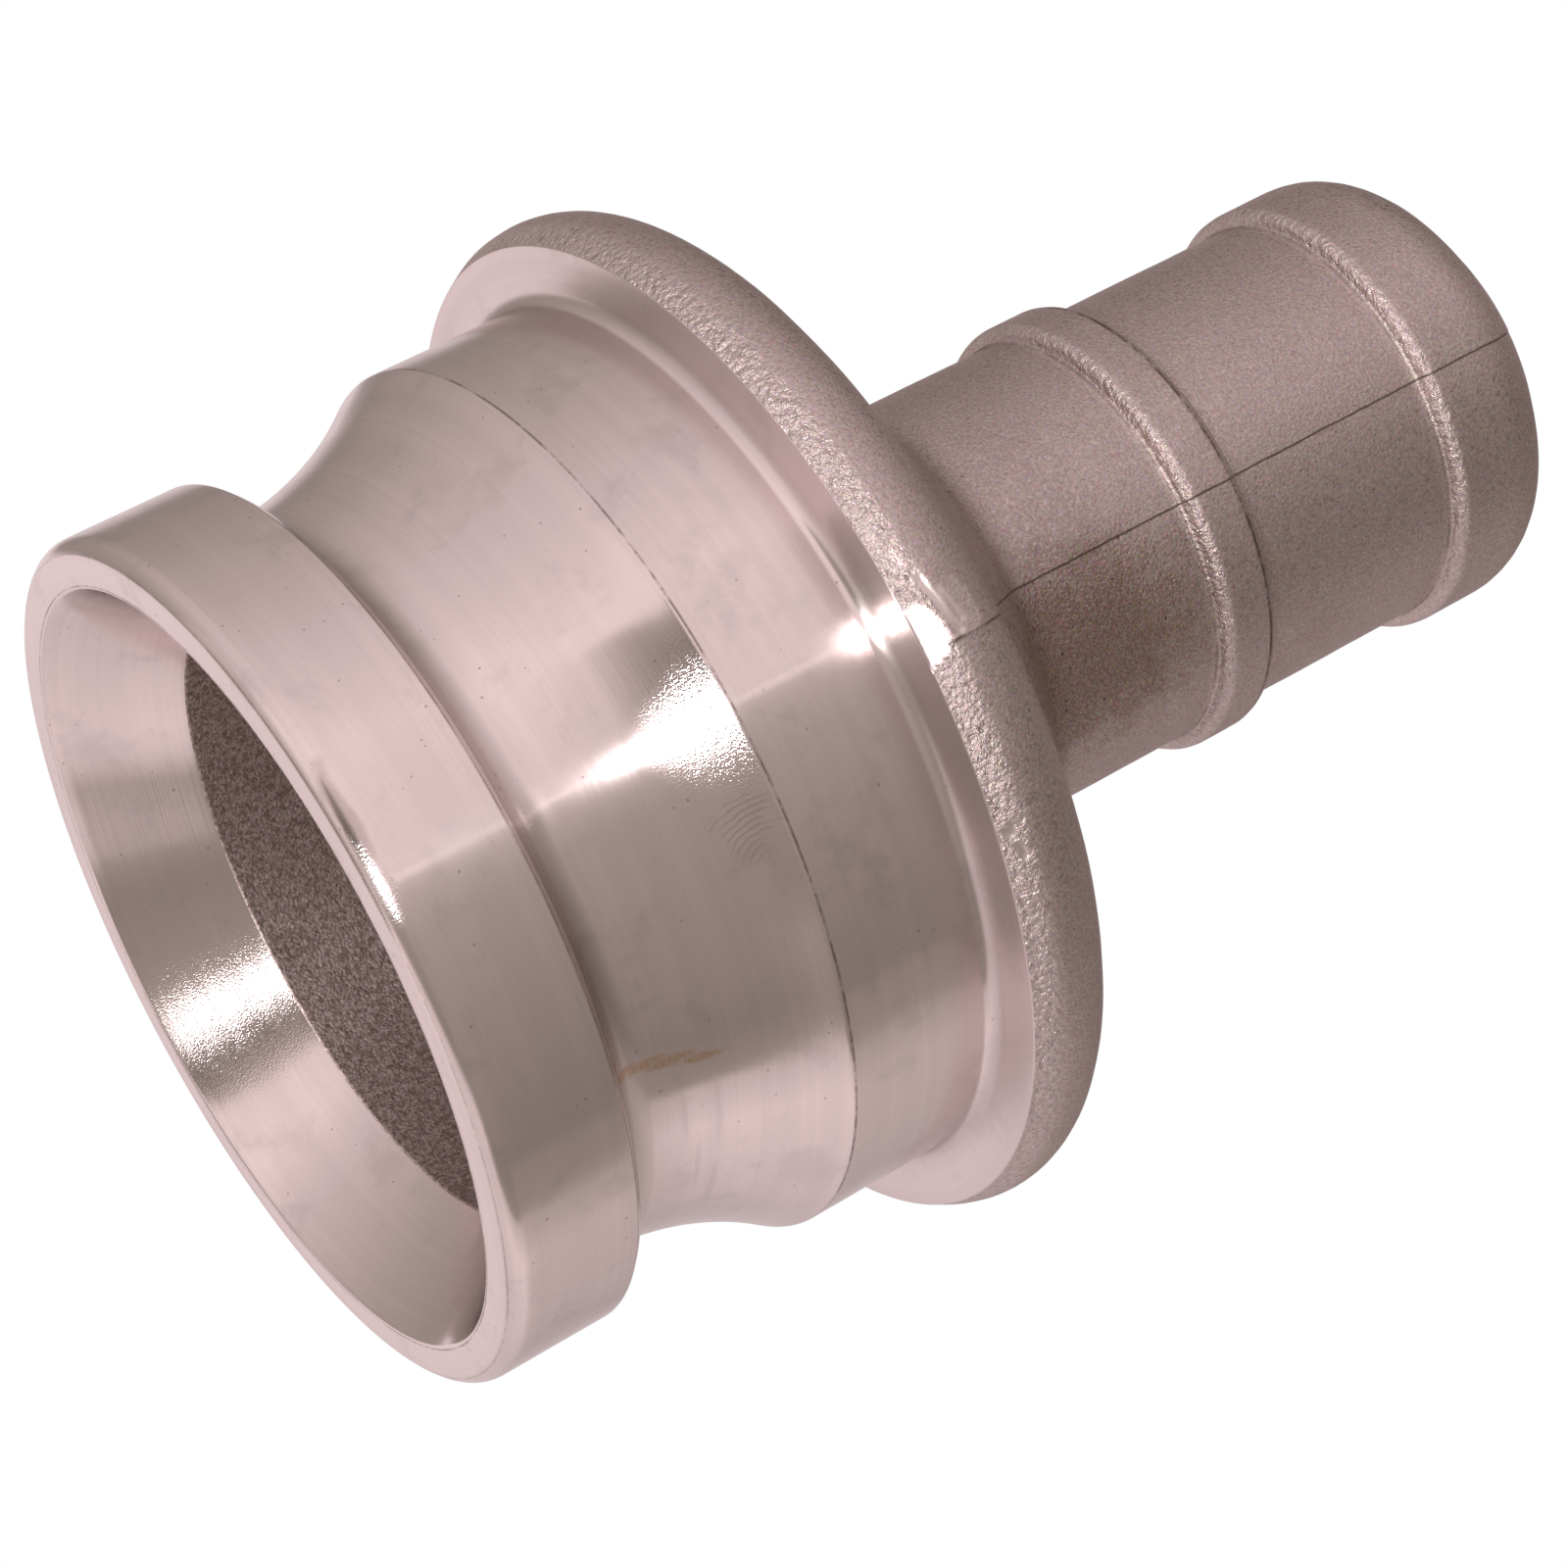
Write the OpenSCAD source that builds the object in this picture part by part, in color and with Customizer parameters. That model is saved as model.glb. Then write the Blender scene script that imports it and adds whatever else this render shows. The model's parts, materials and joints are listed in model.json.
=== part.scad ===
// Hose tail adapter: a cam-and-groove male end that steps down to a smaller ribbed hose tail.
// It is a single aluminium casting. The cam end is turned on a lathe, the rest is left as cast.
// It stands on its mouth: the sealing face lies on z = 0 and the hose tail points along +Z.
// Every height is measured from the sealing face, unless its comment says otherwise.

/* [Cam end] */
// Diameter of the lip that enters the coupler
lip_d = 91.5; // [89.8:0.1:94]
// Diameter of the sealing face's outer edge
face_edge_d = 88.6; // [87.6:0.1:90]
// Radius of the rounding between the sealing face and the lip
lip_round = 2.1; // [1.8:0.1:4]
// Height of the lip's back edge
lip_h = 14.7; // [12:0.1:16]
// Size of the chamfer on the lip's back edge
lip_chamfer = 0.8; // [0.3:0.05:1.5]
// Diameter of the cam groove at its floor
groove_d = 80.6; // [78:0.1:84]
// Height of the groove's floor
groove_h = 19.3; // [18.5:0.1:21]
// Radius of the long flare that climbs from the groove to the shoulder
flare_round = 35.4; // [20:0.1:80]
// Diameter of the shoulder behind the groove
shoulder_d = 95.2; // [94.2:0.1:97]
// Height of the shoulder's front edge
shoulder_h = 37.4; // [34:0.1:42]

/* [Collar] */
// Diameter of the collar over its cast rim
collar_d = 110.6; // [109:0.1:120]
// Height of the collar's turned front face
collar_h = 54; // [50:0.1:60]
// Radius of the collar's rounded rim
rim_round = 6.5; // [5:0.1:7]
// Depth that the turned face takes off the rim's rounding
rim_cut = 2.3; // [0.5:0.1:4]
// Radius of the fillet between the shoulder and the collar
shoulder_fillet = 1.5; // [0.5:0.1:3]

/* [Reducing cone] */
// Diameter of the cone where it leaves the collar's back
neck_d = 92; // [84:0.5:95]
// Length of the cone along the axis
neck_len = 16.2; // [14:0.1:24]
// Wall thickness of the cone
neck_wall = 6; // [5:0.1:7]
// Radius of the fillet between the collar's back and the cone
neck_fillet = 2.5; // [0.5:0.1:3]
// Radius of the fillet between the cone and the tail
tail_fillet = 5; // [1:0.5:8]

/* [Hose tail] */
// Diameter of the tail's tube
tail_d = 46.4; // [44:0.1:47]
// Diameter over the rib and over the tip band
rib_d = 49.7; // [49.2:0.1:54]
// Length of the tail, from the end of the cone to the tip
tail_len = 69.2; // [66:0.1:90]
// Distance from the end of the cone to the rib
rib_from_neck = 21.3; // [15:0.1:30]
// Width of the rib
rib_w = 6.5; // [4:0.1:10]
// Distance from the end of the cone to the tip band
band_from_neck = 53.2; // [45:0.1:56]
// Radius of the rounded front corner of the rib and of the band
ring_round = 1.4; // [0.4:0.1:1.6]
// Radius of the rib's rounded back corner
rib_back_round = 0.8; // [0.2:0.1:1]
// Radius of the fillet at the foot of the rib and of the band
rib_foot = 0.6; // [0.2:0.1:1]
// Radius of the rounding that leads into the tip
tip_round = 7.4; // [3:0.1:8]
// Angle between the tip's lead-in and the axis, in degrees
tip_slope = 53; // [40:1:60]
// Width of the flat ring at the very tip
tip_flat = 0.8; // [0.3:0.1:1.5]

/* [Passage] */
// Diameter of the turned mouth cone at the sealing face
mouth_d = 82; // [76:0.1:84]
// Diameter where the turned mouth cone ends and the cast chamber starts
throat_d = 65.8; // [60:0.1:68]
// Depth of the turned mouth cone
throat_h = 12; // [8:0.1:14]
// Draft of the cast chamber, in degrees
chamber_draft = 1.5; // [0:0.1:3]
// Radius that blends the chamber into the cone, and the cone into the bore
chamber_blend = 5; // [1:0.5:8]
// Diameter of the bore through the hose tail
bore_d = 36; // [32:0.1:38]

/* [Hidden] */
$fn = 192;

// Cuts and joined sections reach this far past the surface that they end on
over = 1;

lip_r = lip_d / 2;
groove_r = groove_d / 2;
shoulder_r = shoulder_d / 2;
collar_r = collar_d / 2;
neck_r = neck_d / 2;
tail_r = tail_d / 2;
rib_r = rib_d / 2;
mouth_r = mouth_d / 2;
throat_r = throat_d / 2;
bore_r = bore_d / 2;

// The rounding of the lip's front is centred here, so that it ends on the face's edge
lip_arc = [lip_r - lip_round, sqrt(pow(lip_round, 2) - pow(face_edge_d / 2 - lip_r + lip_round, 2))];

// The groove's front wall is a quarter round from the lip's back edge down to the floor
groove_round = groove_h - lip_h;

// The rim's round, of which the turned face takes a slice
rim_arc = [collar_r - rim_round, collar_h + rim_round - rim_cut];
collar_back_h = rim_arc.y + rim_round;

// Heights along the tail
tail_h = collar_back_h + neck_len;
rib_h = tail_h + rib_from_neck;
rib_end_h = rib_h + rib_w;
band_h = tail_h + band_from_neck;
tip_h = tail_h + tail_len;

// The rib and the band stand this far above the tube. A round on them leaves room under it
// for a small fillet at the foot.
ring_step = rib_r - tail_r;
least_foot = 0.2;
front_round = min(ring_round, ring_step - least_foot);
back_round = min(rib_back_round, ring_step - least_foot);
crest_end_h = rib_end_h - back_round;

// Angle between the cone and the axis, and the way down it from the collar
neck_slope = atan2(neck_r - tail_r, neck_len);
down_cone = [-sin(neck_slope), cos(neck_slope)];

// The tip's rounding starts where its lead-in can still end on the flat ring
tip_ring_r = bore_r + tip_flat;
lead_in = [cos(tip_slope), sin(tip_slope)] * tip_round;
tip_arc_r = rib_r - tip_round;
tip_arc_h = tip_h - lead_in.y - (tip_arc_r + lead_in.x - tip_ring_r) / tan(tip_slope);

// Inside, the cone's wall keeps its thickness, and the drafted chamber runs up to it
function inner_cone_h(r) = collar_back_h + (neck_r - neck_wall / cos(neck_slope) - r) / tan(neck_slope);
draft_share = tan(chamber_draft) / tan(neck_slope);
chamber_end_h = (inner_cone_h(throat_r) - throat_h * draft_share) / (1 - draft_share);
chamber_end = [throat_r - (chamber_end_h - throat_h) * tan(chamber_draft), chamber_end_h];
bore_start = [bore_r, inner_cone_h(bore_r)];
along_chamber = [sin(chamber_draft), -cos(chamber_draft)];

// Centre of the circle of radius r through p and q that lies to the right of the way from p to q
function arc_centre(p, q, r) =
    let (way = q - p, side = [way.y, -way.x] / norm(way))
    (p + q) / 2 + side * sqrt(pow(r, 2) - pow(norm(way) / 2, 2));

// A round of radius r at the corner p, whose sides run along u and v: the point where it
// starts on u, its centre, and the point where it ends on v
function corner(p, u, v, r) =
    let (half = acos(u * v) / 2)
    [p + u * r / tan(half), p + (u + v) / norm(u + v) * r / sin(half), p + v * r / tan(half)];

// All sections are drawn with the radius along x and the height along y

// From the axis out to radius r, between two heights
module disc(r, h0, h1) {
    translate([0, h0]) square([r, h1 - h0]);
}

// Fills an inner corner at p with a fillet. The corner's sides run along u and v, where v is
// reached from u by an anticlockwise turn.
module fillet(p, u, v, r) {
    round = corner(p, u, v, r);
    difference() {
        polygon([p, round[0], round[1], round[2]]);
        translate(round[1]) circle(r);
    }
}

// Lip, cam groove, flare and shoulder, turned from one blank
module cam_end() {
    difference() {
        disc(shoulder_r, 0, collar_h + over);
        translate([lip_r, -over]) square([shoulder_r, groove_h + over]);
        lip_front_cut();
        lip_back_cut();
        groove_cut();
        flare_cut();
    }
}

module lip_front_cut() {
    difference() {
        translate([lip_arc.x, -over]) square([lip_round + over, lip_arc.y + over]);
        translate(lip_arc) circle(lip_round);
    }
}

module lip_back_cut() {
    polygon([
        [lip_r + over, lip_h - lip_chamfer - over],
        [lip_r - lip_chamfer, lip_h],
        [lip_r + over, lip_h]
    ]);
}

module groove_cut() {
    wall_r = groove_r + groove_round;
    intersection() {
        translate([groove_r - over, lip_h]) square([shoulder_r, groove_round]);
        union() {
            translate([wall_r, groove_h]) circle(groove_round);
            translate([wall_r, lip_h]) square([shoulder_r, groove_round]);
        }
    }
}

module flare_cut() {
    intersection() {
        translate([groove_r - over, groove_h]) square([shoulder_r, shoulder_h - groove_h]);
        translate(arc_centre([groove_r, groove_h], [shoulder_r, shoulder_h], flare_round))
            circle(flare_round);
    }
}

// Collar: a cast rim with a full round, cut flat at the front
module collar() {
    intersection() {
        disc(collar_r, collar_h, collar_back_h);
        union() {
            disc(rim_arc.x, collar_h, collar_back_h);
            translate(rim_arc) circle(rim_round);
        }
    }
    fillet([shoulder_r, collar_h], [0, -1], [1, 0], shoulder_fillet);
}

// Cone that steps down from the collar to the tail, with a fillet at each end
module reducing_cone() {
    neck = corner([neck_r, collar_back_h], [1, 0], down_cone, neck_fillet);
    foot = corner([tail_r, tail_h], -down_cone, [0, 1], tail_fillet);
    inside_collar = [[0, collar_back_h - over], [neck[0].x, collar_back_h - over]];
    difference() {
        polygon(concat(inside_collar, neck, foot, [[0, foot[2].y]]));
        translate(neck[1]) circle(neck_fillet);
        translate(foot[1]) circle(tail_fillet);
    }
}

// Raised ring from its front face at height h to the end of its crest, with the rounded front
// corner and the fillet at its foot
module raised_ring(h, crest_end) {
    disc(rib_r - front_round, h, crest_end);
    disc(rib_r, h + front_round, crest_end);
    translate([rib_r - front_round, h + front_round]) circle(front_round);
    fillet([tail_r, h], [0, -1], [1, 0], min(rib_foot, ring_step - front_round));
}

// Rounded back corner of the rib, with the fillet at its foot
module rib_back() {
    disc(rib_r - back_round, crest_end_h - over, rib_end_h);
    translate([rib_r - back_round, crest_end_h]) circle(back_round);
    fillet([tail_r, rib_end_h], [1, 0], [0, 1], min(rib_foot, ring_step - back_round));
}

// Tube, rib and tip band of the hose tail. The band's crest runs into the tip's rounding.
module hose_tail() {
    disc(tail_r, tail_h - over, band_h + over);
    raised_ring(rib_h, crest_end_h);
    rib_back();
    raised_ring(band_h, tip_arc_h);
    lead_in_tip();
}

// Rounding and lead-in at the tip, ending on a narrow flat ring
module lead_in_tip() {
    centre = [tip_arc_r, tip_arc_h];
    translate(centre) circle(tip_round);
    polygon([[0, tip_arc_h], [rib_r, tip_arc_h], centre + lead_in, [tip_ring_r, tip_h], [0, tip_h]]);
}

// The way through: turned mouth cone, cast chamber, reducing cone and bore
module passage() {
    chamber = corner(chamber_end, along_chamber, down_cone, chamber_blend);
    bore = corner(bore_start, -down_cone, [0, 1], chamber_blend);
    mouth = [[0, -over], [mouth_r, -over], [mouth_r, 0], [throat_r, throat_h]];
    tail_end = [[bore_r, tip_h + over], [0, tip_h + over]];
    difference() {
        polygon(concat(mouth, [chamber[0], chamber[2]], bore, tail_end));
        translate(bore[1]) circle(chamber_blend);
    }
    translate(chamber[1]) circle(chamber_blend);
}

module adapter_body() {
    color([0.80, 0.76, 0.75])
        rotate_extrude()
            difference() {
                union() {
                    cam_end();
                    collar();
                    reducing_cone();
                    hose_tail();
                }
                passage();
            }
}

adapter_body();
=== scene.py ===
# %% [markdown]
# # Hose tail adapter: one casting in two finishes
#
# The object is a single piece of cast aluminium. A foundry poured it between two mould halves,
# and a lathe then cut the coupling end: lip, cam groove, flare, shoulder, and the front of the
# collar. So half of what shows is turned metal, bright and ringed, and the other half is as
# the sand left it, matte and granular. This lesson builds that difference in Blender: one
# closed surface carried round an axis, with two materials that meet along clean rings.
#
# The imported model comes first. It is the fixed frame: it says how large the part is and where
# it stands, and the surface made here has to fit inside it.

# %% Load the frame
import json
import math

import bpy
import numpy as np
from mathutils import Matrix, Vector


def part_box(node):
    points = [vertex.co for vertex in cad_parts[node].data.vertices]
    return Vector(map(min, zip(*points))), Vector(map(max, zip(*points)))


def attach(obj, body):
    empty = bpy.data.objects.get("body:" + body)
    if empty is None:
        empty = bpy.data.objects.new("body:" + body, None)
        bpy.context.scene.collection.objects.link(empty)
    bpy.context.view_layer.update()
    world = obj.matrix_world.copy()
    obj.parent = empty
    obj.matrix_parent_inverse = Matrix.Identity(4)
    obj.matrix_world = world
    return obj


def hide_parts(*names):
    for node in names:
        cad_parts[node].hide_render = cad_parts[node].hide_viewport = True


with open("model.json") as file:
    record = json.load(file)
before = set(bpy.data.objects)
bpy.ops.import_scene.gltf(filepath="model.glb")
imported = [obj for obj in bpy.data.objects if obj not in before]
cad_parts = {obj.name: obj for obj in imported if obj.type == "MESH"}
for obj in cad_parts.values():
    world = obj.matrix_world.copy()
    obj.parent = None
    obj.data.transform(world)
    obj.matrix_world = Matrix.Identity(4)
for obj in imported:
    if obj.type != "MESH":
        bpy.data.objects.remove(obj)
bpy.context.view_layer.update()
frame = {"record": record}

# %% [markdown]
# ## Sizes
#
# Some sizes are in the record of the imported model, as the dimensions of its mounts: the lip
# that enters the coupler, the crest of the hose tail, and the bore. They are read from there.
# The others are written down once, in millimetres, the unit of a machine drawing, and every
# later step works from them. Radii are used throughout, because the surface is carried round
# an axis.

# %% Read the mounts and name the other sizes
MM = 0.001
mounts = {mount["name"]: mount for mount in frame["record"]["mounts"]}
lip_r = mounts["cam_lip"]["dims"]["r_mm"]
crest_r = mounts["hose_tail"]["dims"]["r_mm"]
bore_r = mounts["tail_bore"]["dims"]["r_mm"]
low_corner, high_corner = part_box("adapter_body")
collar_r = high_corner[0] / MM
tip_h = high_corner[2] / MM

mouth_r, face_edge_r, lip_round, lip_h, lip_chamfer = 41.0, 44.3, 2.1, 14.7, 0.8
groove_r, groove_h, flare_round = 40.3, 19.3, 35.4
shoulder_r, shoulder_h, shoulder_fillet = 47.6, 37.4, 1.5
collar_h, rim_round, rim_cut = 54.0, 6.5, 2.3
neck_r, neck_len, neck_wall, neck_fillet, tail_fillet = 46.0, 16.2, 6.0, 2.5, 5.0
tail_r, rib_from_neck, rib_w, band_from_neck = 23.2, 21.3, 6.5, 53.2
front_round, back_round, front_foot, back_foot = 1.4, 0.8, 0.25, 0.6
tip_round, tip_slope, tip_flat = 7.4, 53.0, 0.8
throat_r, throat_h, chamber_draft, chamber_blend = 32.9, 12.0, 1.5, 5.0
print("lip", lip_r, "crest", crest_r, "bore", bore_r, "collar", round(collar_r, 3), "tip", round(tip_h, 3))

# %% [markdown]
# ## The camera
#
# The photograph looks slightly up into the mouth, with the part's axis running up to the right
# across the picture. Five numbers say that: the focal length in pixels, how far the view is
# tipped, how the axis lies in the picture, and where the middle of the mouth is from the
# camera. They were found by fitting circles of known size to the rings in the photograph.
# Blender wants a lens in millimetres for a 36 mm sensor, and a matrix whose columns point to
# the right, up, and backwards.

# %% Place the camera
photo_px = 1600
focal_px = 4393
sensor_mm = 36
view_tip = math.radians(23.184)
axis_slope_in_picture = math.radians(27.918)
mouth_right_mm, mouth_down_mm, mouth_ahead_mm = -51.491, 18.426, 418.524

ahead = Vector((0, math.cos(view_tip), math.sin(view_tip)))
level_right = Vector((1, 0, 0))
level_up = level_right.cross(ahead)
roll = math.pi / 2 - axis_slope_in_picture
right = level_right * math.cos(roll) + level_up * math.sin(roll)
up = level_up * math.cos(roll) - level_right * math.sin(roll)
camera_place = (up * mouth_down_mm - right * mouth_right_mm - ahead * mouth_ahead_mm) * MM

camera_data = bpy.data.cameras.new("camera")
camera_data.sensor_width = sensor_mm
camera_data.lens = focal_px / photo_px * sensor_mm
camera_data.clip_start = 0.01
camera = bpy.data.objects.new("camera", camera_data)
bpy.context.collection.objects.link(camera)
turned_camera = Matrix((right, up, -ahead)).transposed().to_4x4()
camera.matrix_world = Matrix.Translation(camera_place) @ turned_camera
bpy.context.scene.camera = camera
print("camera at", [round(v, 4) for v in camera_place], "lens", round(camera_data.lens, 2), "mm")

# %% [markdown]
# ## Curves of the section
#
# Cut the part in half along its axis and the cut face shows its section: a closed line with the
# distance from the axis across and the height upwards. It is made of only two kinds of curve,
# straight lines and arcs. Each is a function of one number t that runs from 0 to 1, so that a
# curve can later be asked for as many points as the surface needs, and can be shortened at its
# ends.

# %% Straight lines, arcs and fillets
def straight(start, end):
    """The points start + (end - start) t, and the length."""
    start, end = np.array(start, float), np.array(end, float)
    return (lambda t: start + (end - start) * t[:, None]), float(np.linalg.norm(end - start))


def arc(centre, radius, start, end):
    """The points at one distance from the centre, whose angle goes evenly from start to end in
    degrees, and the length. Angle 0 points away from the axis and 90 to the tip."""
    def points(t):
        turn = np.radians(start + (end - start) * t)
        return np.array(centre) + radius * np.column_stack([np.cos(turn), np.sin(turn)])
    return points, radius * math.radians(abs(end - start))


def fillet(corner, u, v, radius):
    """The round between two sides that leave a corner along the unit vectors u and v: where it
    leaves the first side, its arc, and where it meets the second. It touches each side at
    radius / tan(half the angle) from the corner, and its centre is on the bisector at
    radius / sin(half the angle)."""
    corner, u, v = (np.array(x, float) for x in (corner, u, v))
    half = math.acos(u @ v) / 2
    centre = corner + (u + v) / np.linalg.norm(u + v) * radius / math.sin(half)
    start, end = (corner + side * radius / math.tan(half) for side in (u, v))
    first, last = (math.degrees(math.atan2(*(point - centre)[::-1])) for point in (start, end))
    last = first + (last - first + 180) % 360 - 180
    return start, arc(centre, radius, first, last), end


print("an arc of 90 degrees and radius 2 is", round(arc((0, 0), 2, 0, 90)[1], 3), "long")

# %% [markdown]
# ## The section
#
# The section is listed as a walk round the metal, always with the metal on the left. It starts
# at the mouth, goes out over the sealing face and the lip, along the outside to the tip, and
# back through the bore and the chamber. Each stretch has a finish, the distance between its
# rings of points, and the size of the small softening at its start. A lathe tool leaves no edge
# perfectly sharp, and such a softened edge is what catches a thin line of light. A stretch may
# also hold a dark line at its start, which is dirt together with painted shade in the crease or
# at the edge, and may be worn bright by handling, which also lightens its colour as a painted
# highlight.

# %% Lay out the cam end
TURNED, CAST = 1, 0
OPEN_STEP, ARC_STEP, KNOCK_STEP, GRAIN_STEP, HIDDEN_STEP = 1.4, 0.45, 0.2, 1.0, 3.5
section = []


def stretch(curve, finish, step, soft=0.0, dirt_and_shade=None, worn_and_sheen=0.0):
    """Adds a curve to the section, with its finish, its spacing, the softening before it, how
    much dirt and painted shade the dark line at its start holds, where it holds any, and how far
    handling has rubbed it bright, which also lightens its colour as a painted highlight."""
    section.append({"points": curve[0], "length": curve[1], "finish": finish, "step": step,
                    "soft": soft, "dirt_and_shade": dirt_and_shade, "worn_and_sheen": worn_and_sheen})


lip_arc_r = lip_r - lip_round
lip_arc_h = math.sqrt(lip_round ** 2 - (face_edge_r - lip_arc_r) ** 2)
lip_arc_start = math.degrees(math.atan2(-lip_arc_h, face_edge_r - lip_arc_r))
groove_round = groove_h - lip_h
groove_wall_r = groove_r + groove_round
flare_way = np.array([shoulder_r - groove_r, shoulder_h - groove_h])
flare_chord = np.linalg.norm(flare_way)
flare_side = np.array([flare_way[1], -flare_way[0]]) / flare_chord
flare_centre = (np.array([groove_r, groove_h]) + flare_way / 2
                + flare_side * math.sqrt(flare_round ** 2 - flare_chord ** 2 / 4))
flare_start, flare_end = (
    math.degrees(math.atan2(h - flare_centre[1], r - flare_centre[0]))
    for r, h in ((groove_r, groove_h), (shoulder_r, shoulder_h)))
fillet_centre = (shoulder_r + shoulder_fillet, collar_h - shoulder_fillet)

# The dark lines at the starts of these stretches are dirt together with painted shade at the crease or edge.
stretch(straight((mouth_r, 0), (face_edge_r, 0)), TURNED, OPEN_STEP, soft=0.25, dirt_and_shade=1.0)
stretch(arc((lip_arc_r, lip_arc_h), lip_round, lip_arc_start, 0), TURNED, ARC_STEP, soft=0.3,
        dirt_and_shade=0.35)
stretch(straight((lip_r, lip_arc_h), (lip_r, lip_h - lip_chamfer)), TURNED, OPEN_STEP)
stretch(straight((lip_r, lip_h - lip_chamfer), (lip_r - lip_chamfer, lip_h)), TURNED, ARC_STEP,
        soft=0.15, dirt_and_shade=0.6)
stretch(straight((lip_r - lip_chamfer, lip_h), (groove_wall_r, lip_h)), TURNED, ARC_STEP)
stretch(arc((groove_wall_r, groove_h), groove_round, -90, -180), TURNED, ARC_STEP)
stretch(arc(flare_centre, flare_round, flare_start, flare_end), TURNED, OPEN_STEP, soft=0.3)
stretch(straight((shoulder_r, shoulder_h), (shoulder_r, collar_h - shoulder_fillet)), TURNED,
        OPEN_STEP, soft=0.25, dirt_and_shade=0.8)
stretch(arc(fillet_centre, shoulder_fillet, 180, 90), TURNED, ARC_STEP)
way_so_far = sum(part["length"] for part in section)
print("cam end:", len(section), "stretches,", round(way_so_far, 1), "mm along the section")

# %% [markdown]
# The collar, the reducing cone and the hose tail follow. Only the collar's front face is
# turned. The round of its rim, and all that lies behind it, came out of the sand.

# %% Lay out the collar, the cone and the hose tail
rim_arc_r = collar_r - rim_round
rim_arc_h = collar_h + rim_round - rim_cut
rim_start = math.degrees(math.asin((collar_h - rim_arc_h) / rim_round))
rim_split = 4
face_to_r = rim_arc_r + rim_round * math.cos(math.radians(rim_start))
collar_back_h = rim_arc_h + rim_round
tail_h = collar_back_h + neck_len
cone_slope = math.atan2(neck_r - tail_r, neck_len)
down_cone = np.array([-math.sin(cone_slope), math.cos(cone_slope)])
neck_from, neck_arc, neck_to = fillet((neck_r, collar_back_h), (1, 0), down_cone, neck_fillet)
foot_from, foot_arc, foot_to = fillet((tail_r, tail_h), -down_cone, (0, 1), tail_fillet)
rib_h = tail_h + rib_from_neck
rib_end_h = rib_h + rib_w
back_from, back_arc, back_to = fillet((tail_r, rib_end_h), (1, 0), (0, 1), back_foot)
band_h = tail_h + band_from_neck
tip_ring_r = bore_r + tip_flat
tip_turn = math.radians(tip_slope)
lead_in = np.array([math.cos(tip_turn), math.sin(tip_turn)]) * tip_round
tip_arc_r = crest_r - tip_round
tip_arc_h = tip_h - lead_in[1] - (tip_arc_r + lead_in[0] - tip_ring_r) / math.tan(tip_turn)


def ring_front(height):
    """The fillet at a raised ring's foot, its front face and its rounded front corner."""
    start, foot, end = fillet((tail_r, height), (0, -1), (1, 0), front_foot)
    # Its foot holds a dark line of dirt and painted shade, and its front is worn bright, with a painted
    # highlight in its colour.
    stretch(foot, CAST, ARC_STEP, dirt_and_shade=0.4)
    stretch(straight(end, (crest_r - front_round, height)), CAST, GRAIN_STEP, worn_and_sheen=0.5)
    stretch(arc((crest_r - front_round, height + front_round), front_round, -90, 0), CAST,
            ARC_STEP, worn_and_sheen=0.75)


stretch(straight((fillet_centre[0], collar_h), (face_to_r, collar_h)), TURNED, GRAIN_STEP)
rim_row = len(section)
stretch(arc((rim_arc_r, rim_arc_h), rim_round, rim_start, rim_split), CAST, KNOCK_STEP, soft=0.12)
stretch(arc((rim_arc_r, rim_arc_h), rim_round, rim_split, 90), CAST, ARC_STEP)
stretch(straight((rim_arc_r, collar_back_h), neck_from), CAST, GRAIN_STEP)
stretch(neck_arc, CAST, ARC_STEP)
stretch(straight(neck_to, foot_from), CAST, GRAIN_STEP)
stretch(foot_arc, CAST, GRAIN_STEP)
stretch(straight(foot_to, (tail_r, rib_h - front_foot)), CAST, GRAIN_STEP)
ring_front(rib_h)
stretch(straight((crest_r, rib_h + front_round), (crest_r, rib_end_h - back_round)), CAST,
        GRAIN_STEP)
stretch(arc((crest_r - back_round, rib_end_h - back_round), back_round, 0, 90), CAST, ARC_STEP,
        dirt_and_shade=0.8)
stretch(straight((crest_r - back_round, rib_end_h), back_from), CAST, ARC_STEP)
stretch(back_arc, CAST, ARC_STEP)
stretch(straight(back_to, (tail_r, band_h - front_foot)), CAST, GRAIN_STEP)
ring_front(band_h)
stretch(straight((crest_r, band_h + front_round), (crest_r, tip_arc_h)), CAST, GRAIN_STEP)
stretch(arc((tip_arc_r, tip_arc_h), tip_round, 0, tip_slope), CAST, GRAIN_STEP)
stretch(straight((tip_arc_r, tip_arc_h) + lead_in, (tip_ring_r, tip_h)), CAST, GRAIN_STEP)
tip_row = len(section)
print("collar at", collar_h, "to", collar_back_h, "tail from", round(tail_h, 1))

# %% [markdown]
# The way back leads through the part. A bore runs up the tail, an inner cone follows the outer
# one at an even wall, and a chamber with a little draft opens to the mouth, where the lathe cut
# the last stretch as a cone.

# %% Lay out the way through
def inner_cone_h(radius):
    """Height of the inner cone at a radius: the outer cone's, moved in by the wall."""
    return collar_back_h + (neck_r - neck_wall / math.cos(cone_slope) - radius) / math.tan(cone_slope)


draft = math.radians(chamber_draft)
draft_share = math.tan(draft) / math.tan(cone_slope)
chamber_end_h = (inner_cone_h(throat_r) - throat_h * draft_share) / (1 - draft_share)
chamber_end = (throat_r - (chamber_end_h - throat_h) * math.tan(draft), chamber_end_h)
to_mouth = (math.sin(draft), -math.cos(draft))
bore_from, bore_arc, bore_to = fillet((bore_r, inner_cone_h(bore_r)), (0, 1), -down_cone, chamber_blend)
chamber_from, chamber_arc, chamber_to = fillet(chamber_end, down_cone, to_mouth, chamber_blend)

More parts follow.
